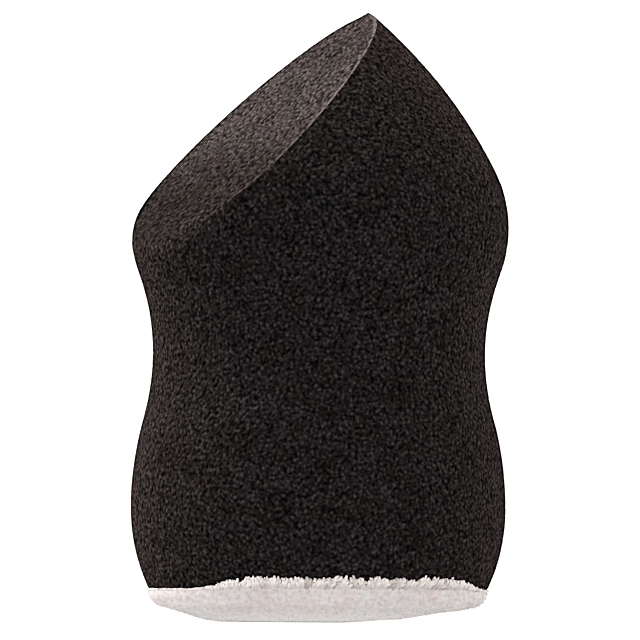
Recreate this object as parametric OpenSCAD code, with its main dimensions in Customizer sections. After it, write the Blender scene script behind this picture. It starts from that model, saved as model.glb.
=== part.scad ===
// Makeup sponge: a waisted block of black foam with one slanted cut face on top and a plush
// puff pad glued to its foot. Millimetres, +Z up. The origin is the middle of the flat spot
// on which the pad stands, and the slanted face looks towards -Y.

/* [Foam body] */
// Width of the foam at its foot, where the pad is glued on
foot_d = 34; // [28:0.5:42]
// How far the belly swells out past the foot, on each side
belly_swell = 1.85; // [1:0.05:5]
// Height of the belly, the widest place of the lower half, above the foam's foot
belly_h = 8.2; // [6:0.1:12]
// How far the waist is drawn in from the belly, on each side
waist_draw = 2.1; // [1:0.05:4]
// Climb from the belly to the waist, the narrow place where the fingers hold it
waist_climb = 15.4; // [11:0.1:20]
// Share of the room between the bulges that the waist's hollow bend takes up
waist_bend_share = 0.65; // [0.3:0.01:0.85]
// How far the shoulder swells out past the waist, on each side
shoulder_swell = 2.3; // [1.5:0.05:5]
// Climb from the waist to the shoulder, the widest place of the upper half
shoulder_climb = 12.8; // [10:0.1:17]
// Lean of the side from upright where the shoulder passes into the flank, in degrees
flank_start_angle = 26.5; // [18:0.5:35]
// Bend radius of the long flank between the shoulder and the tip
flank_bend_r = 49.5; // [40:0.5:70]
// Bend radius of the round tip, most of which the slanted cut takes off
tip_bend_r = 7.5; // [4:0.5:10]

/* [Slanted face] */
// Climb from the shoulder to where the slanted cut crosses the middle axis
slant_climb = 16.7; // [10:0.1:21]
// Angle of the slanted cut from level, in degrees
slant_angle = 45; // [30:0.5:55]

/* [Plush pad] */
// Depth of the plush pile under the ground cloth, in the middle
pile_depth = 2.6; // [1.5:0.1:5]
// Thickness of the knitted ground cloth that holds the pile
ground_t = 0.5; // [0.3:0.05:1]
// Thickness of the film of adhesive between the ground cloth and the foam
film_t = 0.2; // [0.1:0.05:0.5]
// How deep the domed pile is pressed flat where the sponge stands on it
press_depth = 0.5; // [0.3:0.05:1]
// Radius of the pad's rounded rim
rim_round_r = 1.5; // [0.8:0.1:2]
// How far the pile stands out past the cut edge of the ground cloth
pile_lip_w = 0.5; // [0.3:0.1:1.5]
// How far the film of adhesive stops short of the ground cloth's edge
film_inset = 0.3; // [0.1:0.1:2]

/* [Hidden] */
// Longest straight piece of a curved outline, and the most that it turns in one, in degrees
chord_len = 1.2;
chord_turn = 5;
// Gap between the ground cloth's cut edge and the pile that stands round it
edge_clear = 0.1;
// How far a cut runs on past what it cuts
overrun = 1;

foot_r = foot_d / 2;
belly_r = foot_r + belly_swell;
waist_r = belly_r - waist_draw;
waist_h = belly_h + waist_climb;
shoulder_r = waist_r + shoulder_swell;
shoulder_h = waist_h + shoulder_climb;
ground_top = pile_depth + ground_t;
foam_foot_z = ground_top + film_t;
ground_r = foot_r - pile_lip_w - edge_clear;
film_r = ground_r - film_inset;

// Bend radius of an arc that moves sideways by run while it climbs by rise, upright at one end
function arc_r(run, rise) = (pow(run, 2) + pow(rise, 2)) / (2 * run);

// A bulge and the waist next to it meet without a kink where the radius of one arc over the
// whole climb between them is the sum of their two bend radii.
lower_bends = arc_r(waist_draw, waist_climb);
upper_bends = arc_r(shoulder_swell, shoulder_climb);
waist_bend_r = waist_bend_share * min(lower_bends, upper_bends);
belly_bend_r = lower_bends - waist_bend_r;
shoulder_bend_r = upper_bends - waist_bend_r;
foot_bend_r = arc_r(belly_swell, belly_h);

// Centres of the bends, as [distance from the axis, height above the foam's foot]
foot_c = [belly_r - foot_bend_r, belly_h];
belly_c = [belly_r - belly_bend_r, belly_h];
waist_c = [waist_r + waist_bend_r, waist_h];
shoulder_c = [shoulder_r - shoulder_bend_r, shoulder_h];
flank_c = shoulder_c - (flank_bend_r - shoulder_bend_r) * heading(flank_start_angle);
flank_end_angle = acos(-flank_c[0] / (flank_bend_r - tip_bend_r));
tip_c = flank_c + (flank_bend_r - tip_bend_r) * heading(flank_end_angle);

// The pad's dome runs into its rounded rim without a kink, where the two centres and the
// tangent point lie on one line, and the rim ends upright at the top of the ground cloth.
rim_c = [foot_r - rim_round_r, ground_top];
rim_drop = ground_top + press_depth - rim_round_r;
dome_r = rim_round_r + arc_r(rim_drop, rim_c[0]);
dome_c = [0, dome_r - press_depth];
rim_angle = atan2(rim_c[1] - dome_c[1], rim_c[0]);
flat_angle = -asin(dome_c[1] / dome_r);

foot_angle = asin(belly_h / foot_bend_r);
belly_angle = atan2(waist_climb, waist_c[0] - belly_c[0]);
shoulder_angle = atan2(shoulder_climb, waist_c[0] - shoulder_c[0]);

$fn = 180;

function heading(angle) = [cos(angle), sin(angle)];

// Points along an arc, without its first point
function arc_points(centre, bend_r, from, to) =
    let (turn = abs(to - from))
    let (steps = ceil(max(turn / chord_turn, turn * PI / 180 * bend_r / chord_len)))
    [for (i = [1 : steps]) centre + bend_r * heading(from + (to - from) * i / steps)];

// Half of the foam's outline, from its foot up to the tip that the slanted cut takes off
module foam_outline()
    polygon(concat(
        [[0, 0], [foot_r, 0]],
        arc_points(foot_c, foot_bend_r, -foot_angle, 0),
        arc_points(belly_c, belly_bend_r, 0, belly_angle),
        arc_points(waist_c, waist_bend_r, 180 + belly_angle, 180 - shoulder_angle),
        arc_points(shoulder_c, shoulder_bend_r, -shoulder_angle, flank_start_angle),
        arc_points(flank_c, flank_bend_r, flank_start_angle, flank_end_angle),
        arc_points(tip_c, tip_bend_r, flank_end_angle, 90)));

// Everything above the plane of the slanted face
module slanted_waste() {
    reach = shoulder_h + slant_climb;
    translate([0, 0, shoulder_h + slant_climb])
        rotate([slant_angle, 0, 0])
            translate([-reach, -reach, 0])
                cube([2 * reach, 2 * reach, reach]);
}

// Flat round piece of cloth or film
module disc(radius, thickness, bottom_z)
    translate([0, 0, bottom_z])
        cylinder(r = radius, h = thickness);

// One piece of foam, turned to its waisted shape and sliced once across the top
module foam_body()
    color("#262323")
        translate([0, 0, foam_foot_z])
            difference() {
                rotate_extrude()
                    foam_outline();
                slanted_waste();
            }

// Hot-melt film that bonds the pad to the foam's foot
module adhesive_film()
    color("#cfc9b8")
        disc(film_r, film_t, ground_top);

// Knitted cloth disc that the pile is anchored in
module ground_cloth()
    color("#cdc5c0")
        disc(ground_r, ground_t, pile_depth);

// Pile of the puff: domed below, pressed flat where it stands, standing up round the cloth's edge
module plush_pile()
    color("#ddd6d2")
        difference() {
            rotate_extrude()
                polygon(concat(
                    [[0, ground_top], [0, 0], [dome_r * cos(flat_angle), 0]],
                    arc_points(dome_c, dome_r, flat_angle, rim_angle),
                    arc_points(rim_c, rim_round_r, rim_angle, 0)));
            disc(ground_r + edge_clear, ground_t + overrun, pile_depth);
        }

foam_body();
adhesive_film();
ground_cloth();
plush_pile();
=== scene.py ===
"""Makeup sponge: a waisted block of black foam, sliced once across the top, with a plush puff pad on its foot.

Metres, +Z up. The origin is the middle of the flat spot on which the pad stands, and the slanted face looks towards -Y.
"""
import math

import bpy
import numpy as np
from mathutils import Matrix, Vector


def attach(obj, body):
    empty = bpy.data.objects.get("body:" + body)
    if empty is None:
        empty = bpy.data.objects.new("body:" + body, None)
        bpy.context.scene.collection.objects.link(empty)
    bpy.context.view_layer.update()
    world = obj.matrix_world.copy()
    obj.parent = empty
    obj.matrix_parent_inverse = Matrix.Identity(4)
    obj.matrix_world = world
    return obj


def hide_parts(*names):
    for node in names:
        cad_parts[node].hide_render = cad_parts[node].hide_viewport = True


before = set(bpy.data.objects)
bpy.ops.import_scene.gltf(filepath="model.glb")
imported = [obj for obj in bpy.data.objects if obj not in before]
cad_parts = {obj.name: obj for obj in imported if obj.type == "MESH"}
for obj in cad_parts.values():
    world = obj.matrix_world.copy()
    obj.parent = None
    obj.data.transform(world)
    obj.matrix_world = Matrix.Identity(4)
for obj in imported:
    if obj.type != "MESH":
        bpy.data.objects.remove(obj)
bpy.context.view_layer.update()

MM = 0.001

# Foam body, as in the part's source
FOOT_R = 17.0 * MM
BELLY_SWELL, BELLY_H = 1.85 * MM, 8.2 * MM
WAIST_DRAW, WAIST_CLIMB, WAIST_BEND_SHARE = 2.1 * MM, 15.4 * MM, 0.65
SHOULDER_SWELL, SHOULDER_CLIMB = 2.3 * MM, 12.8 * MM
FLANK_START, FLANK_BEND_R, TIP_BEND_R = math.radians(26.5), 49.5 * MM, 7.5 * MM
SLANT_CLIMB, SLANT = 16.7 * MM, math.radians(45)

# Plush pad, as in the part's source
PILE_DEPTH, GROUND_T, FILM_T = 2.6 * MM, 0.5 * MM, 0.2 * MM
PRESS_DEPTH, RIM_ROUND_R, PILE_LIP_W, EDGE_CLEAR = 0.5 * MM, 1.5 * MM, 0.5 * MM, 0.1 * MM
GROUND_TOP = PILE_DEPTH + GROUND_T
FOAM_FOOT_Z = GROUND_TOP + FILM_T
GROUND_R = FOOT_R - PILE_LIP_W - EDGE_CLEAR

# Soft pile is never pressed quite evenly: on one side it stands a little clear of where it should, and opposite it is
# a little fuller
SIDE_LIFT, SIDE_DROP, LIFTED_SIDE = 0.35 * MM, 0.27 * MM, math.radians(65)
# The pile's rim stands up a little over the joint with the foam and leans as the foam's foot does
LIP_RISE, LOW_LIP_RISE, LIP_T, LIP_LEAN = 0.45 * MM, 0.22 * MM, 0.1 * MM, math.radians(25)
LIP_UNEVEN_SHARE = 0.14
# Where the rim is brushed short: the turn about the axis, half the width of that place, and how far it fades out
BRUSHED = (
    {"middle": math.radians(-101), "half": math.radians(26), "fade": math.radians(28)},
    {"middle": math.radians(68), "half": math.radians(6), "fade": math.radians(40)},
)
# The pile is brushed one way, which draws its marks out, and is drawn a little duller towards one side as painted shade
PILE_COMBED, PILE_DRAG, PILE_SHADED_SIDE = (0.906, -0.423, 0.0), 4.0, (0.0, -1.0, 0.0)

# Edges of the foam: a knife leaves the slanted one crisp at the tip and pulls it soft at its low lip, and the die
# rounds the foot's a little
TIP_ROUND_R, LIP_ROUND_R, FOOT_ROUND_R = 0.06 * MM, 1.5 * MM, 0.2 * MM
LIP_FROM_Y, LIP_TO_Y = -14.5 * MM, -18.6 * MM
# The cut tip is thin and soft, and stands up to a point that is a little off the middle
TIP_RISE, TIP_REACH, TIP_TURN = 0.3 * MM, 3.2 * MM, math.radians(84)

# Grain of the foam: cells are 0.1 to 0.2 mm in the real foam and are drawn coarser, so that they show; the knife
# drags those of the slanted face out sideways
CELL = 0.32 * MM
SLICE_CELL, SLICE_DRAG, DRAG_ALONG = 0.36 * MM, 1.6, (0.94, -0.24, -0.24)

# Kinds of node that come up often, and settings that many nodes share
MATH, RANGE, MIX = "ShaderNodeMath", "ShaderNodeMapRange", "ShaderNodeMix"
SMOOTH = {"interpolation_type": "SMOOTHSTEP"}
BLEND = {"data_type": "RGBA"}
TINT = {"data_type": "RGBA", "blend_type": "MULTIPLY"}


def linear(hex_colour):
    """An sRGB hex colour as linear red, green, blue and alpha"""
    parts = [int(hex_colour[i : i + 2], 16) / 255 for i in (1, 3, 5)]
    return [c / 12.92 if c <= 0.04045 else ((c + 0.055) / 1.055) ** 2.4 for c in parts] + [1.0]


# Sockets that share a name go by number: a RANGE takes its value and the ends of its two ranges as 0 to 4, and a MIX
# takes its share as 0 and its numbers as 2 and 3, or its colours as 6 and 7, and gives the mixed colour as 2
def add(tree, kind, inputs=None, out=0, **settings):
    """Adds a node with its settings, links or fills its inputs, a hex colour as linear, and returns one output"""
    node = tree.nodes.new(kind)
    for name, value in settings.items():
        setattr(node, name, value)
    for key, value in (inputs or {}).items():
        if isinstance(value, bpy.types.NodeSocket):
            tree.links.new(value, node.inputs[key])
        else:
            node.inputs[key].default_value = linear(value) if str(value).startswith("#") else value
    return node.outputs[out] if len(node.outputs) else node


def linked(name, data):
    """A new object in the scene that shows the data"""
    made = bpy.data.objects.new(name, data)
    bpy.context.scene.collection.objects.link(made)
    return made


# Outlines


def arc(centre, bend_r, start, end, step=0.02):
    """Points along an arc, as (distance from the axis, height), without its first point"""
    count = max(2, int(abs(end - start) / step))
    turn = np.linspace(start, end, count + 1)[1:]
    return np.stack([centre[0] + bend_r * np.cos(turn), centre[1] + bend_r * np.sin(turn)], axis=1)


def bend_radius(run, rise):
    """Bend radius of an arc that moves sideways by run while it climbs by rise, upright at one end"""
    return (run**2 + rise**2) / (2 * run)


def foam_outline():
    """The foam's turned outline from its foot to its tip, and the shoulder's height, both above z = 0"""
    belly_r = FOOT_R + BELLY_SWELL
    waist_r = belly_r - WAIST_DRAW
    shoulder_r = waist_r + SHOULDER_SWELL
    belly_z = FOAM_FOOT_Z + BELLY_H
    waist_z = belly_z + WAIST_CLIMB
    shoulder_z = waist_z + SHOULDER_CLIMB
    lower, upper = bend_radius(WAIST_DRAW, WAIST_CLIMB), bend_radius(SHOULDER_SWELL, SHOULDER_CLIMB)
    waist_bend = WAIST_BEND_SHARE * min(lower, upper)
    belly_bend, shoulder_bend, foot_bend = lower - waist_bend, upper - waist_bend, bend_radius(BELLY_SWELL, BELLY_H)
    foot_c = np.array([belly_r - foot_bend, belly_z])
    belly_c = np.array([belly_r - belly_bend, belly_z])
    waist_c = np.array([waist_r + waist_bend, waist_z])
    shoulder_c = np.array([shoulder_r - shoulder_bend, shoulder_z])
    flank_c = shoulder_c - (FLANK_BEND_R - shoulder_bend) * np.array([math.cos(FLANK_START), math.sin(FLANK_START)])
    flank_end = math.acos(-flank_c[0] / (FLANK_BEND_R - TIP_BEND_R))
    tip_c = flank_c + (FLANK_BEND_R - TIP_BEND_R) * np.array([math.cos(flank_end), math.sin(flank_end)])
    foot_turn = math.asin(BELLY_H / foot_bend)
    belly_turn = math.atan2(WAIST_CLIMB, waist_c[0] - belly_c[0])
    shoulder_turn = math.atan2(SHOULDER_CLIMB, waist_c[0] - shoulder_c[0])
    points = np.concatenate([
        [[FOOT_R, FOAM_FOOT_Z]],
        arc(foot_c, foot_bend, -foot_turn, 0),
        arc(belly_c, belly_bend, 0, belly_turn),
        arc(waist_c, waist_bend, math.pi + belly_turn, math.pi - shoulder_turn),
        arc(shoulder_c, shoulder_bend, -shoulder_turn, FLANK_START),
        arc(flank_c, FLANK_BEND_R, FLANK_START, flank_end),
        arc(tip_c, TIP_BEND_R, flank_end, math.pi / 2),
    ])
    return points, shoulder_z


def pad_outline():
    """The plush pad's outline from the middle of its flat spot, round its rim and lip and into the cloth's pocket"""
    rim_c = np.array([FOOT_R - RIM_ROUND_R, GROUND_TOP])
    dome_r = RIM_ROUND_R + bend_radius(GROUND_TOP + PRESS_DEPTH - RIM_ROUND_R, rim_c[0])
    dome_c = np.array([0, dome_r - PRESS_DEPTH])
    rim_turn = math.atan2(rim_c[1] - dome_c[1], rim_c[0])
    flat_turn = -math.asin(dome_c[1] / dome_r)
    flat_r = dome_r * math.cos(flat_turn)
    pocket_r = GROUND_R + EDGE_CLEAR
    lip_r, lip_z = FOOT_R + LIP_RISE * math.tan(LIP_LEAN), GROUND_TOP + LIP_RISE
    return np.concatenate([
        [[0, 0], [flat_r, 0]],
        arc(dome_c, dome_r, flat_turn, rim_turn, step=0.003),
        arc(rim_c, RIM_ROUND_R, rim_turn, 0, step=0.06),
        [[lip_r, lip_z], [lip_r - LIP_T, lip_z - LIP_T / 2], [FOOT_R - LIP_T, GROUND_TOP]],
        [[pocket_r, GROUND_TOP], [pocket_r, PILE_DEPTH], [0, PILE_DEPTH]],
    ])


def spaced(points, step):
    """The same outline with points at most a step apart, corners kept"""
    made = [points[0]]
    for a, b in zip(points, points[1:]):
        count = max(1, math.ceil(np.linalg.norm(b - a) / step))
        made += [a + (b - a) * i / count for i in range(1, count + 1)]
    return np.array(made)


# Meshes


def turns_round(columns):
    """As many turns about the axis as a ring has points"""
    return np.arange(columns) * 2 * math.pi / columns


def turned_mesh(name, rings, first_pole, last_pole):
    """Closed mesh object through rings of points, from a pole on the underside to one on top, its faces outwards"""
    count, columns = rings.shape[:2]
    points = np.concatenate([[first_pole], rings.reshape(-1, 3), [last_pole]])
    here = np.arange(columns)
    after = (here + 1) % columns
    last = 1 + (count - 1) * columns
    faces = np.stack([here * 0, 1 + after, 1 + here], axis=1).tolist()
    for ring in range(count - 1):
        low, high = 1 + ring * columns, 1 + (ring + 1) * columns
        faces += np.stack([low + here, low + after, high + after, high + here], axis=1).tolist()
    faces += np.stack([last + here, last + after, np.full(columns, len(points) - 1)], axis=1).tolist()
    mesh = bpy.data.meshes.new(name)
    mesh.from_pydata(points.tolist(), [], faces)
    mesh.polygons.foreach_set("use_smooth", [True] * len(mesh.polygons))
    mesh.update()
    return linked(name, mesh)


def store(piece, name, values):
    """Writes one number per vertex to an attribute that a tree or a material reads"""
    piece.data.attributes.new(name, "FLOAT", "POINT").data.foreach_set("value", np.asarray(values, dtype=float))


def smooth_step(x, start, end):
    """0 at the start, 1 at the end and past it, without a kink at either"""
    t = np.clip((x - start) / (end - start), 0, 1)
    return t * t * (3 - 2 * t)


def round_max(a, b, radius):
    """Distance to the room inside both surfaces with their shared edge rounded, and how much each surface counts"""
    near = (a > -radius) & (b > -radius)
    u, v = np.maximum(radius + a, 0), np.maximum(radius + b, 0)
    length = np.maximum(np.hypot(u, v), 1e-9)
    value = np.where(near, length - radius, np.maximum(a, b))
    return value, np.where(near, u / length, a >= b), np.where(near, v / length, b > a)


class FoamShape:
    """The turned outline cut off by the slanted plane and the foot's plane, with rounded edges"""

    def __init__(self):
        self.outline, shoulder_z = foam_outline()
        self.cut_z = shoulder_z + SLANT_CLIMB
        self.run = np.concatenate([[0], np.cumsum(np.linalg.norm(np.diff(self.outline, axis=0), axis=1))])
        self.slope = np.gradient(self.outline[:, 0], self.outline[:, 1])

    def radius(self, z):
        """The side's distance from the axis at each height"""
        return np.interp(z, self.outline[:, 1], self.outline[:, 0])

    def rim_height(self, turn):
        """Height at which the slanted plane leaves the side, at each turn about the axis"""
        low, high = np.full_like(turn, FOAM_FOOT_Z), np.full_like(turn, self.outline[-1, 1])
        halvings = 40
        for _ in range(halvings):
            middle = (low + high) / 2
            under = middle < self.cut_z + math.tan(SLANT) * self.radius(middle) * np.sin(turn)
            low, high = np.where(under, middle, low), np.where(under, high, middle)
        return (low + high) / 2

    def settle(self, points):
        """Moves points that lie on the sharp-edged body onto the body with rounded edges"""
        cut_normal = np.array([0, -math.sin(SLANT), math.cos(SLANT)])
        rounds, least_pull = 6, 0.2
        for _ in range(rounds):
            x, y, z = points.T
            rho = np.maximum(np.hypot(x, y), 1e-9)
            slope = np.interp(z, self.outline[:, 1], self.slope)
            lean = np.sqrt(1 + slope**2)
            side = (rho - self.radius(z)) / lean
            side_normal = np.stack([x / rho, y / rho, -slope], axis=1) / lean[:, None]
            cut = (z - self.cut_z) * math.cos(SLANT) - y * math.sin(SLANT)
            foot = FOAM_FOOT_Z - z
            edge_r = TIP_ROUND_R + (LIP_ROUND_R - TIP_ROUND_R) * smooth_step(y, LIP_FROM_Y, LIP_TO_Y)
            top, side_share, cut_share = round_max(side, cut, edge_r)
            normal = side_share[:, None] * side_normal + cut_share[:, None] * cut_normal
            whole, top_share, foot_share = round_max(top, foot, FOOT_ROUND_R)
            normal = top_share[:, None] * normal + foot_share[:, None] * np.array([0, 0, -1.0])
            points = points - (whole / np.maximum((normal**2).sum(axis=1), least_pull))[:, None] * normal
        return points


def foam_base():
    """The foam's smooth body as rings that follow the rim of the slanted face, before its cells are raised"""
    shape = FoamShape()
    columns, foot_rings, side_rings, cut_rings = 600, 24, 230, 84
    turn = turns_round(columns)
    around = np.stack([np.cos(turn), np.sin(turn)], axis=1)
    rim_run = np.interp(shape.rim_height(turn), shape.outline[:, 1], shape.run)
    foot_z = np.full(columns, FOAM_FOOT_Z)
    foot = [np.column_stack([around * FOOT_R * i / foot_rings, foot_z]) for i in range(1, foot_rings)]
    side = []
    for i in range(side_rings + 1):
        z = np.interp(rim_run * i / side_rings, shape.run, shape.outline[:, 1])
        side.append(np.column_stack([around * shape.radius(z)[:, None], z]))
    rim = side[-1]
    middle_y = (rim[:, 1].min() + rim[:, 1].max()) / 2
    middle = np.array([0, middle_y, shape.cut_z + math.tan(SLANT) * middle_y])
    cut = [rim + (middle - rim) * i / cut_rings for i in range(1, cut_rings)]
    rings = np.array(foot + side + cut)
    settled = shape.settle(rings.reshape(-1, 3)).reshape(rings.shape)
    near_tip = np.linalg.norm(settled - rim[np.abs(turn - TIP_TURN).argmin()], axis=2)
    settled[..., 2] += TIP_RISE * np.clip(1 - near_tip / TIP_REACH, 0, 1) ** 2
    piece = turned_mesh("foam_block", settled, (0, 0, FOAM_FOOT_Z), middle)
    # How far each point lies inside the slanted face, from its rim, in metres; 0 off that face
    reach = np.linalg.norm(rim - middle, axis=1)
    inside = np.zeros(rings.shape[:2])
    inside[len(foot) + len(side) :] = reach * np.arange(1, cut_rings)[:, None] / cut_rings
    store(piece, "slice_inset", np.concatenate([[0], inside.ravel(), [reach.min()]]))
    # How far each point lies from that rim on either side of it
    away = inside.copy()
    away[: len(foot)] = rim_run
    away[len(foot) : len(foot) + len(side)] = rim_run * (1 - np.arange(side_rings + 1)[:, None] / side_rings)
    store(piece, "rim_distance", np.concatenate([[reach.min()], away.ravel(), [reach.min()]]))
    return piece


def pad_base():
    """The plush pad's smooth body: turned, with a lip that is low where the rim is brushed short"""
    columns, step = 560, 0.19 * MM
    outline = spaced(pad_outline(), step)
    turn = turns_round(columns)
    brushed = np.zeros(columns)
    for place in BRUSHED:
        wave, edge = np.cos(turn - place["middle"]), math.cos(place["half"] + place["fade"])
        brushed = np.maximum(brushed, smooth_step(wave, edge, math.cos(place["half"])))
    # Pile isn't shorn quite evenly: three waves of unlike counts round the rim
    uneven = sum(np.sin(count * turn + count) for count in (37, 61, 97)) / 3
    sunk_share = brushed * (1 - LOW_LIP_RISE / LIP_RISE) + LIP_UNEVEN_SHARE * uneven
    rings = []
    for r, z in outline[1:-1]:
        sunk = max(z - GROUND_TOP, 0) * sunk_share
        drawn_in = r - sunk * math.tan(LIP_LEAN)
        rings.append(np.column_stack([np.cos(turn) * drawn_in, np.sin(turn) * drawn_in, z - sunk]))
    rings = np.array(rings)
    # Its underside is uneven too, between the flat spot and the rim
    aside = rings[..., 0] * math.cos(LIFTED_SIDE) + rings[..., 1] * math.sin(LIFTED_SIDE)
    lifted = smooth_step(aside, 2 * MM, 8 * MM) * (1 - smooth_step(aside, 12 * MM, 16.5 * MM))
    fuller = smooth_step(aside, -7.5 * MM, -10.8 * MM) * (1 - smooth_step(aside, -11 * MM, -16 * MM))
    under = 1 - smooth_step(rings[..., 2], 0.6 * MM, 1.8 * MM)
    rings[..., 2] = np.maximum(rings[..., 2] + (SIDE_LIFT * lifted - SIDE_DROP * fuller) * under, 0)
    piece = turned_mesh("plush_face", rings, (0, 0, 0), (0, 0, PILE_DEPTH))
    # The nap stands on the outside only, up to the lip's top, and is pressed flat where the pad stands
    height, pressed_h = outline[:, 1], 0.25 * MM
    hidden = np.arange(len(outline)) > np.argmax(height)
    nap = np.where(hidden, 0, np.clip(height / pressed_h, 0, 1))
    store(piece, "nap", np.concatenate([[nap[0]], np.repeat(nap[1:-1], columns), [nap[-1]]]))
    return piece


def ground_base():
    """The ground cloth's disc, with its cut edge a little worn"""
    columns, worn, step = 240, 0.12 * MM, 0.8 * MM
    turn = turns_round(columns)
    corners = [[0, PILE_DEPTH], [GROUND_R - worn, PILE_DEPTH], [GROUND_R, PILE_DEPTH + worn],
               [GROUND_R, GROUND_TOP - worn], [GROUND_R - worn, GROUND_TOP], [0, GROUND_TOP]]
    rings = [np.column_stack([np.cos(turn) * r, np.sin(turn) * r, np.full(columns, z)])
             for r, z in spaced(np.array(corners), step)[1:-1]]
    return turned_mesh("knit_ground", np.array(rings), (0, 0, PILE_DEPTH), (0, 0, GROUND_TOP))


# Trees


def new_tree(name, sizes):
    """A tree of Geometry Nodes with named inputs, and the outputs of its group input"""
    tree = bpy.data.node_groups.new(name, "GeometryNodeTree")
    tree.interface.new_socket("Geometry", in_out="INPUT", socket_type="NodeSocketGeometry")
    tree.interface.new_socket("Geometry", in_out="OUTPUT", socket_type="NodeSocketGeometry")
    for size, value in sizes.items():
        kind = "NodeSocketInt" if isinstance(value, int) else "NodeSocketFloat"
        tree.interface.new_socket(size, in_out="INPUT", socket_type=kind)
    return tree, tree.nodes.new("NodeGroupInput").outputs


def close_tree(tree, geometry, *dressed):
    """Ends a tree: real geometry, then its materials, each with the faces that wear it"""
    geometry = add(tree, "GeometryNodeRealizeInstances", {"Geometry": geometry})
    for material, faces in dressed:
        geometry = add(tree, "GeometryNodeSetMaterial",
                       {"Geometry": geometry, "Selection": faces, "Material": material})
    add(tree, "NodeGroupOutput", {"Geometry": geometry})


def grown(name, base, tree, sizes):
    """Runs a tree on a base object and returns the result as a plain mesh object of its own; the base goes"""
    modifier = base.modifiers.new(tree.name, "NODES")
    modifier.node_group = tree
    for item in tree.interface.items_tree:
        if item.in_out == "INPUT" and item.name in sizes:
            modifier[item.identifier] = sizes[item.name]
    depsgraph = bpy.context.evaluated_depsgraph_get()
    mesh = bpy.data.meshes.new_from_object(base.evaluated_get(depsgraph), depsgraph=depsgraph)
    mesh.name = name
    bpy.data.objects.remove(base)
    return linked(name, mesh)


def shifted(tree, geometry, height):
    """The geometry moved by a height along its normals"""
    normal = add(tree, "GeometryNodeInputNormal")
    offset = add(tree, "ShaderNodeVectorMath", {0: normal, 3: height}, operation="SCALE")
    return add(tree, "GeometryNodeSetPosition", {"Geometry": geometry, "Offset": offset})


def foam_cells_tree(skin, slice_face):
    """Raises the foam's cells as pits and low swells along the normal; the slanted face shows its cells sliced open"""
    sizes = {"Cell size": CELL, "Pit depth": 0.1 * MM, "Swell size": 9.0 * MM, "Swell height": 0.14 * MM}
    tree, given = new_tree("foam_cells", sizes)
    place = add(tree, "GeometryNodeInputPosition")
    cell_scale = add(tree, MATH, {0: 1.0, 1: given["Cell size"]}, operation="DIVIDE")
    cells = add(tree, "ShaderNodeTexNoise", {"Vector": place, "Scale": cell_scale, "Detail": 0.0})
    deep = add(tree, RANGE, {0: cells, 1: 0.3, 2: 0.6, 3: -1.0, 4: 0.0}, **SMOOTH)
    pitted = add(tree, MATH, {0: deep, 1: given["Pit depth"]}, operation="MULTIPLY")
    swell_scale = add(tree, MATH, {0: 1.0, 1: given["Swell size"]}, operation="DIVIDE")
    swell = add(tree, "ShaderNodeTexNoise", {"Vector": place, "Scale": swell_scale, "Detail": 2.0})
    level = add(tree, MATH, {0: swell, 1: 0.5}, operation="SUBTRACT")
    swollen = add(tree, MATH, {0: level, 1: given["Swell height"], 2: pitted}, operation="MULTIPLY_ADD")
    # The knife leaves the rim of the slanted face clean
    away = add(tree, "GeometryNodeInputNamedAttribute", {"Name": "rim_distance"})
    kept = add(tree, RANGE, {0: away, 1: 0.1 * MM, 2: 0.8 * MM, 3: 0.2, 4: 1.0}, **SMOOTH)
    calmed = add(tree, MATH, {0: swollen, 1: kept}, operation="MULTIPLY")
    raised = shifted(tree, given["Geometry"], calmed)
    inset = add(tree, "GeometryNodeInputNamedAttribute", {"Name": "slice_inset"})
    on_slice = add(tree, MATH, {0: inset, 1: 0.02 * MM}, operation="GREATER_THAN")
    close_tree(tree, raised, (skin, True), (slice_face, on_slice))
    return tree, sizes


def nap_relief_tree(plush):
    """Raises the plush face's nap as a fine uneven pile"""
    sizes = {"Nap size": 0.5 * MM, "Nap height": 0.04 * MM, "Drift size": 4.0 * MM, "Drift height": 0.1 * MM}
    tree, given = new_tree("nap_relief", sizes)
    place = add(tree, "GeometryNodeInputPosition")
    nap = add(tree, "GeometryNodeInputNamedAttribute", {"Name": "nap"})
    height = 0.0
    for size, rise in (("Nap size", "Nap height"), ("Drift size", "Drift height")):
        scale = add(tree, MATH, {0: 1.0, 1: given[size]}, operation="DIVIDE")
        noise = add(tree, "ShaderNodeTexNoise", {"Vector": place, "Scale": scale, "Detail": 2.0})
        level = add(tree, MATH, {0: noise, 1: 0.6}, operation="SUBTRACT")
        height = add(tree, MATH, {0: level, 1: given[rise], 2: height}, operation="MULTIPLY_ADD")
    kept = add(tree, MATH, {0: height, 1: nap}, operation="MULTIPLY")
    close_tree(tree, shifted(tree, given["Geometry"], kept), (plush, True))
    return tree, sizes


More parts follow.
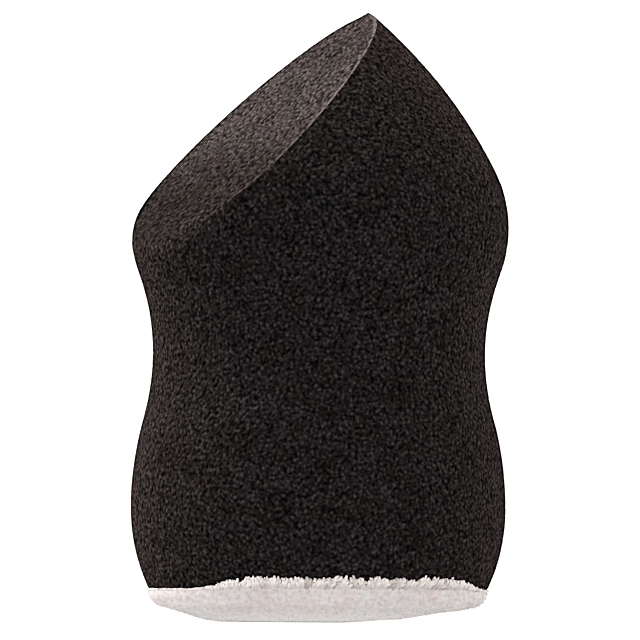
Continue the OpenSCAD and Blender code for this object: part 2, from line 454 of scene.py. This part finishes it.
def strand(tree, sides, joints, thick_share, bend, tip_share):
    """One strand a unit high, bent over, slim at its root and tapering to a soft tip; its mesh"""
    line = add(tree, "GeometryNodeCurvePrimitiveLine", {"Start": (0, 0, 0), "End": (0, 0, 1)})
    jointed = add(tree, "GeometryNodeResampleCurve", {"Curve": line, "Count": joints})
    along = add(tree, "GeometryNodeSplineParameter", out="Factor")
    square = add(tree, MATH, {0: along, 1: 2.0}, operation="POWER")
    sideways = add(tree, MATH, {0: square, 1: bend}, operation="MULTIPLY")
    offset = add(tree, "ShaderNodeCombineXYZ", {"X": sideways})
    bent = add(tree, "GeometryNodeSetPosition", {"Geometry": jointed, "Offset": offset})
    marked = add(tree, "GeometryNodeStoreNamedAttribute", {"Geometry": bent, "Name": "along", "Value": along})
    ring = add(tree, "GeometryNodeCurvePrimitiveCircle", {"Resolution": sides})
    cube = add(tree, MATH, {0: along, 1: 3.0}, operation="POWER")
    taper = add(tree, RANGE, {0: cube, 3: 1.0, 4: tip_share})
    rooted = add(tree, RANGE, {0: along, 1: 0.0, 2: 0.35, 3: 0.5, 4: 1.0})
    slim = add(tree, MATH, {0: taper, 1: rooted}, operation="MULTIPLY")
    thick = add(tree, MATH, {0: slim, 1: thick_share}, operation="MULTIPLY")
    tube = add(tree, "GeometryNodeCurveToMesh",
               {"Curve": marked, "Profile Curve": ring, "Scale": thick, "Fill Caps": True})
    return add(tree, "GeometryNodeSetShadeSmooth", {"Geometry": tube})


def reach_at(tree, turn, short_share):
    """Share of their length that strands have at a turn about the axis: less where the rim is brushed short"""
    reach = 1.0
    for place in BRUSHED:
        off = add(tree, MATH, {0: turn, 1: place["middle"]}, operation="SUBTRACT")
        wave = add(tree, MATH, {0: off}, operation="COSINE")
        edge, inner = math.cos(place["half"] + place["fade"]), math.cos(place["half"])
        here = add(tree, RANGE, {0: wave, 1: edge, 2: inner, 3: 1.0, 4: short_share}, **SMOOTH)
        reach = add(tree, MATH, {0: here, 1: reach}, operation="MINIMUM")
    return reach


def fringe_tree(fibre):
    """Tufts of pile that stand up from the pad's rim against the foam, brushed short at two places"""
    sizes = {"Tufts": 360, "Strands": 10, "Rim radius": FOOT_R - 0.07 * MM, "Rim height": GROUND_TOP,
             "Length": 1.12 * MM, "Short share": 0.2, "Lip rise": LIP_RISE,
             "Outward lean": LIP_LEAN, "Sideways lean": 0.42, "Seed": 4}
    # The least and greatest value of each random spread, and whether the strands of one tuft share it
    spreads = {"tuft turn": (-0.008, 0.008, True), "strand turn": (-0.011, 0.011, False),
               "tuft length": (0.84, 1.06, True), "strand length": (0.8, 1.02, False),
               "root": (-0.12 * MM, 0.0, False), "height": (-0.3 * MM, 0.05 * MM, False),
               "outwards": (-0.08, 0.12, False), "tuft side": (-0.8, 0.45, True), "strand side": (-0.35, 0.35, False),
               "spin": (0.0, 2 * math.pi, False), "tuft tone": (0.0, 0.75, True), "strand tone": (0.0, 0.25, False)}
    tree, given = new_tree("plush_fringe", sizes)
    count = add(tree, MATH, {0: given["Tufts"], 1: given["Strands"]}, operation="MULTIPLY")
    points = add(tree, "GeometryNodePoints", {"Count": count})
    index = add(tree, "GeometryNodeInputIndex")
    share = add(tree, MATH, {0: index, 1: given["Strands"]}, operation="DIVIDE")
    tuft = add(tree, MATH, {0: share}, operation="FLOOR")
    drawn = {}
    for number, (spread, (low, high, shared)) in enumerate(spreads.items()):
        seed = add(tree, MATH, {0: given["Seed"], 1: float(number)}, operation="ADD")
        same = tuft if shared else index
        drawn[spread] = add(tree, "FunctionNodeRandomValue", {2: low, 3: high, "ID": same, "Seed": seed}, 1)

    place = add(tree, MATH, {0: tuft, 1: given["Tufts"]}, operation="DIVIDE")
    even = add(tree, MATH, {0: place, 1: 2 * math.pi, 2: drawn["tuft turn"]}, operation="MULTIPLY_ADD")
    turn = add(tree, MATH, {0: even, 1: drawn["strand turn"]}, operation="ADD")
    reach = reach_at(tree, turn, given["Short share"])
    uneven = add(tree, MATH, {0: reach, 1: drawn["tuft length"]}, operation="MULTIPLY")
    varied = add(tree, MATH, {0: uneven, 1: drawn["strand length"]}, operation="MULTIPLY")
    length = add(tree, MATH, {0: varied, 1: given["Length"]}, operation="MULTIPLY")
    # Roots sit in a band behind the lip, which is lower and narrower where the strands are short
    full = add(tree, RANGE, {0: reach, 1: given["Short share"], 2: 1.0})
    lip = add(tree, MATH, {0: full, 1: given["Lip rise"]}, operation="MULTIPLY")
    band = add(tree, MATH, {0: drawn["height"], 1: full, 2: lip}, operation="MULTIPLY_ADD")
    up = add(tree, MATH, {0: given["Rim height"], 1: band}, operation="ADD")
    rim = add(tree, MATH, {0: given["Rim radius"], 1: drawn["root"]}, operation="ADD")
    out = add(tree, MATH, {0: band, 1: math.tan(LIP_LEAN), 2: rim}, operation="MULTIPLY_ADD")
    root = add(tree, "ShaderNodeCombineXYZ", {"X": out, "Z": up})
    placed = add(tree, "ShaderNodeVectorRotate", {"Vector": root, "Angle": turn}, rotation_type="Z_AXIS")
    roots = add(tree, "GeometryNodeSetPosition", {"Geometry": points, "Position": placed})
    # Short strands stand upright against the foam's foot
    eased = add(tree, RANGE, {0: full, 1: 0.0, 2: 0.4, 3: 0.1, 4: 1.0})
    lean = add(tree, MATH, {0: given["Outward lean"], 1: eased, 2: drawn["outwards"]},
               operation="MULTIPLY_ADD")
    both = add(tree, MATH, {0: drawn["tuft side"], 1: drawn["strand side"]}, operation="ADD")
    side = add(tree, MATH, {0: both, 1: given["Sideways lean"]}, operation="ADD")
    outwards = add(tree, MATH, {0: lean}, operation="SINE")
    upwards = add(tree, MATH, {0: lean}, operation="COSINE")
    heading = add(tree, "ShaderNodeCombineXYZ", {"X": outwards, "Y": side, "Z": upwards})
    turned = add(tree, "ShaderNodeVectorRotate", {"Vector": heading, "Angle": turn}, rotation_type="Z_AXIS")
    upright = add(tree, "FunctionNodeAlignRotationToVector", {"Vector": turned}, axis="Z")
    spin = add(tree, "FunctionNodeAxisAngleToRotation", {"Axis": (0, 0, 1), "Angle": drawn["spin"]})
    facing = add(tree, "FunctionNodeRotateRotation", {0: upright, 1: spin}, rotation_space="LOCAL")
    # Short strands are not much thinner than long ones, so their width is set apart from their length
    stout = add(tree, RANGE, {0: reach, 1: 0.1, 2: 0.7, 3: 0.6, 4: 1.15})
    wide = add(tree, MATH, {0: given["Length"], 1: stout}, operation="MULTIPLY")
    scale = add(tree, "ShaderNodeCombineXYZ", {"X": wide, "Y": wide, "Z": length})
    one = strand(tree, sides=4, joints=5, thick_share=0.17, bend=0.2, tip_share=0.5)
    tufts = add(tree, "GeometryNodeInstanceOnPoints",
                {"Points": roots, "Instance": one, "Rotation": facing, "Scale": scale})
    tone = add(tree, MATH, {0: drawn["tuft tone"], 1: drawn["strand tone"]}, operation="ADD")
    toned = add(tree, "GeometryNodeStoreNamedAttribute", {"Geometry": tufts, "Name": "tone", "Value": tone},
                domain="INSTANCE")
    close_tree(tree, toned, (fibre, True))
    return tree, sizes


def nap_tree(fibre):
    """Short strands all over the pad's face, each leaning its own way"""
    sizes = {"Strands per area": 11.0 / MM**2, "Length": 0.16 * MM, "Uprightness": 0.45, "Seed": 11}
    tree, given = new_tree("plush_nap", sizes)
    nap = add(tree, "GeometryNodeInputNamedAttribute", {"Name": "nap"})
    where = {"Mesh": given["Geometry"], "Density": given["Strands per area"], "Selection": nap, "Seed": given["Seed"]}
    spread = add(tree, "GeometryNodeDistributePointsOnFaces", where, "Points")
    normal = spread.node.outputs["Normal"]
    stray = add(tree, "FunctionNodeRandomValue", {0: (-1, -1, -1), 1: (1, 1, 1), "Seed": given["Seed"]},
                data_type="FLOAT_VECTOR")
    weak = add(tree, "ShaderNodeVectorMath", {0: normal, 3: given["Uprightness"]}, operation="SCALE")
    heading = add(tree, "ShaderNodeVectorMath", {0: weak, 1: stray}, operation="ADD")
    upright = add(tree, "FunctionNodeAlignRotationToVector", {"Vector": heading}, axis="Z")
    next_seed = add(tree, MATH, {0: given["Seed"], 1: 1.0}, operation="ADD")
    share = add(tree, "FunctionNodeRandomValue", {2: 0.6, 3: 1.1, "Seed": next_seed}, 1)
    length = add(tree, MATH, {0: share, 1: given["Length"]}, operation="MULTIPLY")
    one = strand(tree, sides=3, joints=3, thick_share=0.11, bend=0.3, tip_share=0.3)
    strands = add(tree, "GeometryNodeInstanceOnPoints",
                  {"Points": spread, "Instance": one, "Rotation": upright, "Scale": length})
    real = add(tree, "GeometryNodeRealizeInstances", {"Geometry": strands})
    # Nothing goes through what the pad stands on
    place = add(tree, "GeometryNodeInputPosition")
    far, clearance = -1.0, 0.01 * MM
    above = add(tree, "ShaderNodeVectorMath", {0: place, 1: (far, far, clearance)}, operation="MAXIMUM")
    clear = add(tree, "GeometryNodeSetPosition", {"Geometry": real, "Position": above})
    close_tree(tree, clear, (fibre, True))
    return tree, sizes


# Materials


def new_material(name):
    """An empty material and its tree"""
    material = bpy.data.materials.new(name)
    material.use_nodes = True
    material.node_tree.nodes.clear()
    return material, material.node_tree


def finish_material(tree, bsdf_inputs):
    """Ends a material with its one Principled shader"""
    shader = add(tree, "ShaderNodeBsdfPrincipled", bsdf_inputs)
    add(tree, "ShaderNodeOutputMaterial", {"Surface": shader})


def fill_ramp(ramp, tones):
    """Sets a colour ramp's stops: hex tones by their place on it, from its first to its last"""
    stops = ramp.node.color_ramp.elements
    (first, darkest), *between, (last, palest) = tones.items()
    stops[0].position, stops[0].color = first, linear(darkest)
    stops[1].position, stops[1].color = last, linear(palest)
    for position, tone in between:
        stops.new(position).color = linear(tone)


def drawn_out(tree, place, along, times):
    """Coordinates squeezed along one direction, so that a pattern on them is drawn out that way so many times"""
    run = add(tree, "ShaderNodeVectorMath", {0: place, 1: along}, "Value", operation="DOT_PRODUCT")
    less = add(tree, MATH, {0: run, 1: 1 / times - 1}, operation="MULTIPLY")
    squeeze = add(tree, "ShaderNodeVectorMath", {0: along, 3: less}, operation="SCALE")
    return add(tree, "ShaderNodeVectorMath", {0: place, 1: squeeze}, operation="ADD")


def drifting(tree, coordinates, size, detail, colour, ways):
    """Colour that drifts slowly, from plain in the middle of a noise, towards a tint at each of the noise's levels"""
    drift = add(tree, "ShaderNodeTexNoise", {"Vector": coordinates, "Scale": 1 / size, "Detail": detail})
    for level, (most, tint) in ways.items():
        share = add(tree, RANGE, {0: drift, 1: 0.5, 2: level, 3: 0.0, 4: most})
        colour = add(tree, MIX, {0: share, 6: colour, 7: tint}, 2, **TINT)
    return colour


def foam_pattern(tree, place, stretched, cell, tones):
    """The foam's cells, from 0 deep in a pit to 1 on a web's brightest speck, with their colour and bloom"""
    webs = add(tree, "ShaderNodeTexNoise", {"Vector": stretched, "Scale": 1 / cell, "Detail": 0.5})
    nodes = add(tree, "ShaderNodeTexVoronoi", {"Vector": stretched, "Scale": 0.75 / cell}, "Distance")
    # Where webs meet they make a brighter dot
    dots = add(tree, RANGE, {0: nodes, 1: 0.15, 2: 0.95, 3: 0.78, 4: 0.22})
    mixed = add(tree, MIX, {0: 0.5, 2: webs, 3: dots})
    cells = add(tree, RANGE, {0: mixed, 1: 0.15, 2: 0.85})
    ramp = add(tree, "ShaderNodeValToRGB", {"Fac": cells}, "Color")
    fill_ramp(ramp, tones)
    # Dye and dust drift slowly between brown and olive
    colour = drifting(tree, place, 4.0 * MM, 2.0, ramp, {0.65: (0.6, "#dccac6"), 0.35: (0.5, "#dcdac4")})
    # The bloom lies on the webs, and not in the pits
    bloom = add(tree, RANGE, {0: cells, 1: 0.35, 2: 0.7, 3: 0.02, 4: 0.15})
    return cells, colour, bloom


def finish_foam(tree, cell, cells, colour, bloom):
    """Ends a foam material: fine relief of its cells, matt, with a dusty bloom that shows at the sides"""
    relief = add(tree, "ShaderNodeBump", {"Strength": 0.9, "Distance": 0.3 * cell, "Height": cells}, "Normal")
    finish_material(tree, {"Base Color": colour, "Roughness": 0.95, "IOR": 1.45, "Specular IOR Level": 0.03,
                           "Normal": relief, "Sheen Weight": bloom, "Sheen Roughness": 0.5,
                           "Sheen Tint": "#b89e96"})


def foam_skin_material():
    """Open-celled polyurethane foam dyed black: dark pits between webs that catch a little light"""
    material, tree = new_material("pu_foam_moulded_skin")
    place = add(tree, "ShaderNodeTexCoord", out="Object")
    tones = {0.28: "#0a090a", 0.45: "#1a1818", 0.60: "#242223", 0.84: "#3d3a3a"}
    cells, colour, bloom = foam_pattern(tree, place, place, CELL, tones)
    finish_foam(tree, CELL, cells, colour, bloom)
    return material


def rim_shade_and_highlight(tree, place, cells, colour):
    """Colour along the rim of the slanted face, with painted shade on its -X half and a painted highlight on its +X
    half, and the share of that painted shade
    """
    x = add(tree, "ShaderNodeSeparateXYZ", {0: place}, "X")
    y = x.node.outputs["Y"]
    inset = add(tree, "ShaderNodeAttribute", out="Fac", attribute_name="slice_inset")
    edge = add(tree, RANGE, {0: inset, 1: 0.3 * MM, 2: 0.65 * MM, 3: 1.0, 4: 0.0}, **SMOOTH)
    upper = add(tree, RANGE, {0: y, 1: -17.6 * MM, 2: -15 * MM}, **SMOOTH)
    above_lip = add(tree, MATH, {0: edge, 1: upper}, operation="MULTIPLY")
    # Painted shade: the rim is drawn dark on its -X half, fading out towards +X
    towards_plus_x = add(tree, RANGE, {0: x, 1: -0.5 * MM, 2: 3 * MM}, **SMOOTH)
    dark_share = add(tree, RANGE, {0: towards_plus_x, 3: 0.85, 4: 0.0})
    painted_shade = add(tree, MATH, {0: above_lip, 1: dark_share}, operation="MULTIPLY")
    colour = add(tree, MIX, {0: painted_shade, 6: colour, 7: "#161414"}, 2, **BLEND)
    # Painted highlight: on its +X half the rim is drawn paler, here more and there less
    patchy = add(tree, RANGE, {0: cells, 1: 0.35, 2: 0.6, 3: 0.15, 4: 1.0})
    end = add(tree, MATH, {0: above_lip, 1: towards_plus_x}, operation="MULTIPLY")
    painted_highlight = add(tree, MATH, {0: end, 1: patchy}, operation="MULTIPLY")
    colour = add(tree, MIX, {0: painted_highlight, 6: colour, 7: "#645e5c"}, 2, **BLEND)
    return colour, painted_shade


def lip_shade_and_pits(tree, place, cells, colour):
    """Colour towards the low lip: painted shade that darkens the slanted face there, and cells that gape dark at the
    very lip
    """
    y = add(tree, "ShaderNodeSeparateXYZ", {0: place}, "Y")
    # Painted shade: the slanted face is drawn darker towards its low lip, unevenly in clumps
    low = add(tree, RANGE, {0: y, 1: -5 * MM, 2: -15.4 * MM}, **SMOOTH)
    clumps = add(tree, "ShaderNodeTexNoise", {"Vector": place, "Scale": 1 / (0.8 * MM), "Detail": 1.0})
    uneven = add(tree, RANGE, {0: clumps, 1: 0.35, 2: 0.65, 3: 0.8, 4: 1.3})
    lip_shade = add(tree, MATH, {0: low, 1: uneven}, operation="MULTIPLY")
    colour = add(tree, MIX, {0: lip_shade, 6: colour, 7: "#8f8d8b"}, 2, **TINT)
    # and at the very lip its cells gape dark
    lowest = add(tree, RANGE, {0: y, 1: -12.5 * MM, 2: -16 * MM, 3: 0.0, 4: 0.85}, **SMOOTH)
    pits = add(tree, RANGE, {0: cells, 1: 0.36, 2: 0.52, 3: 1.0, 4: 0.0})
    gaping = add(tree, MATH, {0: lowest, 1: pits}, operation="MULTIPLY")
    return add(tree, MIX, {0: gaping, 6: colour, 7: "#0d0c0c"}, 2, **BLEND)


def foam_slice_material():
    """The same foam where a knife sliced it: drawn warmer and paler than the skin, partly for its open cells and partly
    as painted light on this upward face
    """
    material, tree = new_material("pu_foam_sliced_face")
    place = add(tree, "ShaderNodeTexCoord", out="Object")
    dragged = drawn_out(tree, place, DRAG_ALONG, SLICE_DRAG)
    # Paler tones than the skin's: partly the open cells, partly painted light
    tones = {0.28: "#191817", 0.45: "#343131", 0.60: "#434040", 0.84: "#635e5b"}
    cells, colour, bloom = foam_pattern(tree, place, dragged, SLICE_CELL, tones)
    colour, painted_shade = rim_shade_and_highlight(tree, place, cells, colour)
    colour = lip_shade_and_pits(tree, place, cells, colour)
    # There is no bloom where the rim has painted shade
    bare = add(tree, MATH, {0: 1.0, 1: painted_shade}, operation="SUBTRACT")
    bloom = add(tree, MATH, {0: bloom, 1: bare}, operation="MULTIPLY")
    finish_foam(tree, SLICE_CELL, cells, colour, bloom)
    return material


def mottled_pile(tree, brushed):
    """Colour of the pile, brushed one way: finely mottled, with faint warm and cool drifts"""
    mottle = add(tree, "ShaderNodeTexNoise", {"Vector": brushed, "Scale": 1 / (0.42 * MM), "Detail": 1.0})
    ramp = add(tree, "ShaderNodeValToRGB", {"Fac": mottle}, "Color")
    fill_ramp(ramp, {0.28: "#dad5d3", 0.45: "#e6e1df", 0.72: "#f2edec"})
    return drifting(tree, brushed, 2.5 * MM, 1.0, ramp, {0.7: (0.8, "#fbf2f0"), 0.3: (0.8, "#f3f6f4")})


def pile_painted_light(tree, place, colour):
    """Colour of the pile, with painted light and shade: duller on one side, whiter low on the dome, and greyer where
    the pad stands
    """
    # Painted shade: the pile is drawn a little duller towards -Y
    against = add(tree, "ShaderNodeVectorMath", {0: place, 1: PILE_SHADED_SIDE}, "Value", operation="DOT_PRODUCT")
    side_shade = add(tree, RANGE, {0: against, 1: 5 * MM, 2: 13 * MM}, **SMOOTH)
    colour = add(tree, MIX, {0: side_shade, 6: colour, 7: "#f5f7f8"}, 2, **TINT)
    # Painted light: low on the dome the pile is drawn whiter, as if lit from the table below
    height = add(tree, "ShaderNodeSeparateXYZ", {0: place}, "Z")
    painted_underlight = add(tree, RANGE, {0: height, 1: 1.5 * MM, 2: 0.2 * MM, 3: 0.0, 4: 0.6}, **SMOOTH)
    colour = add(tree, MIX, {0: painted_underlight, 6: colour, 7: "#fbf8f6"}, 2, **BLEND)
    # Painted shade: where the pad stands, the pile is drawn greyer
    painted_shade = add(tree, RANGE, {0: height, 1: 0.2 * MM, 2: 0.05 * MM}, **SMOOTH)
    return add(tree, MIX, {0: painted_shade, 6: colour, 7: "#e4ebeb"}, 2, **TINT)


def plush_face_material():
    """Polyester microfibre plush, brushed one way: a dense matt pile with a soft white bloom"""
    material, tree = new_material("polyester_plush_face")
    place = add(tree, "ShaderNodeTexCoord", out="Object")
    brushed = drawn_out(tree, place, PILE_COMBED, PILE_DRAG)
    colour = pile_painted_light(tree, place, mottled_pile(tree, brushed))
    # Fibres are about 0.01 mm thick, and their bundles are drawn as coarse as they need to show
    fibres = add(tree, "ShaderNodeTexNoise", {"Vector": brushed, "Scale": 1 / (0.2 * MM), "Detail": 1.0})
    relief = add(tree, "ShaderNodeBump", {"Strength": 0.4, "Distance": 0.06 * MM, "Height": fibres}, "Normal")
    finish_material(tree, {"Base Color": colour, "Roughness": 0.95, "IOR": 1.45, "Specular IOR Level": 0.1,
                           "Normal": relief, "Sheen Weight": 0.2, "Sheen Roughness": 0.6})
    return material


def pile_material(name, root, tip, shaded):
    """Polyester pile strands: matt, darker at the root where little light gets in, some strands duller than others"""
    material, tree = new_material(name)
    along = add(tree, "ShaderNodeAttribute", out="Fac", attribute_name="along")
    tone = add(tree, "ShaderNodeAttribute", out="Fac", attribute_name="tone")
    up = add(tree, RANGE, {0: along, 1: 0.25, 2: 0.85}, **SMOOTH)
    colour = add(tree, MIX, {0: up, 6: root, 7: tip}, 2, **BLEND)
    dull = add(tree, RANGE, {0: tone, 1: 0.45, 2: 0.95, 3: 0.0, 4: 0.85})
    colour = add(tree, MIX, {0: dull, 6: colour, 7: shaded}, 2, **TINT)
    finish_material(tree, {"Base Color": colour, "Roughness": 0.85, "IOR": 1.45, "Specular IOR Level": 0.2,
                           "Sheen Weight": 0.25, "Sheen Roughness": 0.5})
    return material


def knit_material():
    """Polyester jersey: wales half a millimetre apart, matt and off-white"""
    material, tree = new_material("polyester_jersey")
    place = add(tree, "ShaderNodeTexCoord", out="Object")
    # At a scale of 1 the bands of this texture are 0.314 m apart
    wale, band = 0.5 * MM, 0.314
    wales = add(tree, "ShaderNodeTexWave", {"Vector": place, "Scale": band / wale, "Distortion": 0.6}, "Fac",
                bands_direction="X")
    colour = add(tree, MIX, {0: wales, 6: "#b9b1ac", 7: "#d6cec9"}, 2, **BLEND)
    relief = add(tree, "ShaderNodeBump", {"Strength": 0.5, "Distance": 0.1 * MM, "Height": wales}, "Normal")
    finish_material(tree, {"Base Color": colour, "Roughness": 0.9, "IOR": 1.5, "Normal": relief,
                           "Sheen Weight": 0.2, "Sheen Roughness": 0.5})
    return material


def adhesive_material():
    """Hot-melt EVA film: milky and waxy, a little glossy, with cloudy patches from cooling"""
    material, tree = new_material("hot_melt_film")
    place = add(tree, "ShaderNodeTexCoord", out="Object")
    clouds = add(tree, "ShaderNodeTexNoise", {"Vector": place, "Scale": 1 / (2.5 * MM), "Detail": 3.0})
    colour = add(tree, MIX, {0: clouds, 6: "#bdb6a4", 7: "#dcd6c6"}, 2, **BLEND)
    finish_material(tree, {"Base Color": colour, "Roughness": 0.38, "IOR": 1.48})
    return material


# Pieces


def foam_block():
    """The foam, in place of the CAD's plain solid"""
    tree, sizes = foam_cells_tree(foam_skin_material(), foam_slice_material())
    foam = grown("foam_block", foam_base(), tree, sizes)
    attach(foam, "root")
    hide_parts("foam_body")


def plush_face(base):
    """The pad's cushion of plush, in place of the CAD's plain solid"""
    tree, sizes = nap_relief_tree(plush_face_material())
    face = grown("plush_face", base, tree, sizes)
    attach(face, "root")
    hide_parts("plush_pile")


def plush_strands(base):
    """The strands of the pile: the nap all over the pad's face, and the tufts round its rim"""
    down = pile_material("polyester_pile_nap", root="#e2dddb", tip="#eeeae8", shaded="#f4f0ee")
    tree, sizes = nap_tree(down)
    nap = grown("plush_nap", base, tree, sizes)
    tips = pile_material("polyester_pile_tips", root="#e3ddda", tip="#fdfaf7", shaded="#c6beb9")
    tree, sizes = fringe_tree(tips)
    holder = linked("fringe_holder", bpy.data.meshes.new("fringe_holder"))
    fringe = grown("plush_fringe", holder, tree, sizes)
    for piece in (nap, fringe):
        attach(piece, "root")
    return nap, fringe


def knit_ground():
    """The knitted cloth disc that the pile is anchored in, laid on the film"""
    ground = ground_base()
    ground.data.materials.append(knit_material())
    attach(ground, "root")
    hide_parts("ground_cloth")


def adhesive_film():
    """The film's own solid stays, and gets its material"""
    adhesive = adhesive_material()
    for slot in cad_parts["adhesive_film"].material_slots:
        slot.material = adhesive


def build_sponge():
    """Every piece of the sponge, from its foam to its film"""
    foam_block()
    base = pad_base()
    nap_base = linked("nap_base", base.data.copy())
    plush_face(base)
    nap, fringe = plush_strands(nap_base)
    knit_ground()
    adhesive_film()


# Studio


def light_table():
    """Round light table of opal acrylic, lit from below too; its glow is dimmed round the middle, where something
    stands on it, as a painted shadow
    """
    table_r, under, columns = 100 * MM, 0.01 * MM, 96
    mesh = bpy.data.meshes.new("floor")
    edge = [(table_r * math.cos(turn), table_r * math.sin(turn), 0) for turn in turns_round(columns)]
    mesh.from_pydata(edge, [], [tuple(range(columns))])
    floor = linked("floor", mesh)
    floor.location.z = -under
    material, tree = new_material("opal_acrylic")
    seen = add(tree, "ShaderNodeLightPath", out="Is Camera Ray")
    place = add(tree, "ShaderNodeTexCoord", out="Object")
    run = add(tree, "ShaderNodeVectorMath", {0: place}, "Value", operation="LENGTH")
    # Painted shadow: the glow that the camera sees is weaker within 34 mm of the middle
    shadowed_glow = add(tree, RANGE, {0: run, 1: 19 * MM, 2: 34 * MM, 3: 0.68, 4: 0.92}, **SMOOTH)
    glow = add(tree, RANGE, {0: seen, 3: 0.6, 4: shadowed_glow})
    finish_material(tree, {"Base Color": "#8c8c8c", "Roughness": 0.9, "Specular IOR Level": 0.0,
                           "Emission Color": "#ffffff", "Emission Strength": glow})
    mesh.materials.append(material)


def white_surround():
    """White paper all round, a little brighter to the eye than the light it gives"""
    given, shown = 0.72, 1.1
    world = bpy.data.worlds.new("white_surround")
    bpy.context.scene.world = world
    world.use_nodes = True
    tree = world.node_tree
    tree.nodes.clear()
    seen = add(tree, "ShaderNodeLightPath", out="Is Camera Ray")
    strength = add(tree, RANGE, {0: seen, 3: given, 4: shown})
    light = add(tree, "ShaderNodeBackground", {"Color": "#ffffff", "Strength": strength})
    add(tree, "ShaderNodeOutputWorld", {"Surface": light})


def soft_lamp(name, colour, strength, azimuth, elevation, softness):
    """A lamp far away behind a diffuser; angles in degrees, its azimuth as the views count it"""
    lamp = bpy.data.lights.new(name, "SUN")
    lamp.energy, lamp.color, lamp.angle = strength, linear(colour)[:3], math.radians(softness)
    round_by, up_by = math.radians(azimuth), math.radians(elevation)
    flat = math.cos(up_by)
    towards = Vector((math.sin(round_by) * flat, -math.cos(round_by) * flat, math.sin(up_by)))
    linked(name, lamp).rotation_euler = towards.to_track_quat("Z", "Y").to_euler()


def studio():
    """Light table, white surroundings and two soft lamps, shown in plain display tones"""
    light_table()
    white_surround()
    soft_lamp("key", "#fff0ea", strength=4.1, azimuth=-45, elevation=54, softness=40)
    soft_lamp("fill", "#ffe2d8", strength=0.85, azimuth=170, elevation=40, softness=50)
    view = bpy.context.scene.view_settings
    view.view_transform, view.look, view.exposure, view.gamma = "Standard", "None", 0.0, 1.0


def photo_finish():
    """The mild unsharp mask that a product photograph gets, on the render's own picture, worked in display tones"""
    display_gamma, blur, amount = 2.2, 4, 0.8
    scene = bpy.context.scene
    scene.use_nodes = True
    tree = scene.node_tree
    tree.nodes.clear()
    picture = add(tree, "CompositorNodeRLayers", out="Image")
    tones = add(tree, "CompositorNodeGamma", {"Image": picture, "Gamma": 1 / display_gamma})
    soft = add(tree, "CompositorNodeBlur", {"Image": tones}, filter_type="GAUSS", size_x=blur, size_y=blur)
    detail = add(tree, "CompositorNodeMixRGB", {0: 1.0, 1: tones, 2: soft}, blend_type="SUBTRACT")
    crisp = add(tree, "CompositorNodeMixRGB", {0: amount, 1: tones, 2: detail}, blend_type="ADD")
    light = add(tree, "CompositorNodeGamma", {"Image": crisp, "Gamma": display_gamma})
    add(tree, "CompositorNodeComposite", {"Image": light})


def camera():
    """At the height of the table, looking up a little, a third of the way round from the slanted face to the back"""
    # Its distance is measured from half-way up the sponge
    distance, halfway_z, height, azimuth = 600 * MM, 30 * MM, 0.3 * MM, math.radians(65.0)
    aim_z, aside, tilt = 30.44 * MM, 0.08 * MM, math.radians(0.31)
    flat = math.sqrt(distance**2 - (halfway_z - height) ** 2)
    place = Vector((math.sin(azimuth) * flat, -math.cos(azimuth) * flat, height))
    sideways = Vector((math.cos(azimuth), math.sin(azimuth), 0)) * aside
    data = bpy.data.cameras.new("camera")
    data.lens, data.sensor_width = 335.1, 36.0
    data.clip_start, data.clip_end = 0.01, 100
    back = (place - Vector((0, 0, aim_z))).normalized()
    looking = back.to_track_quat("Z", "Y").to_matrix().to_4x4() @ Matrix.Rotation(tilt, 4, "Z")
    held = linked("camera", data)
    held.matrix_world = Matrix.Translation(place + sideways) @ looking
    bpy.context.scene.camera = held


camera()
studio()
photo_finish()
build_sponge()
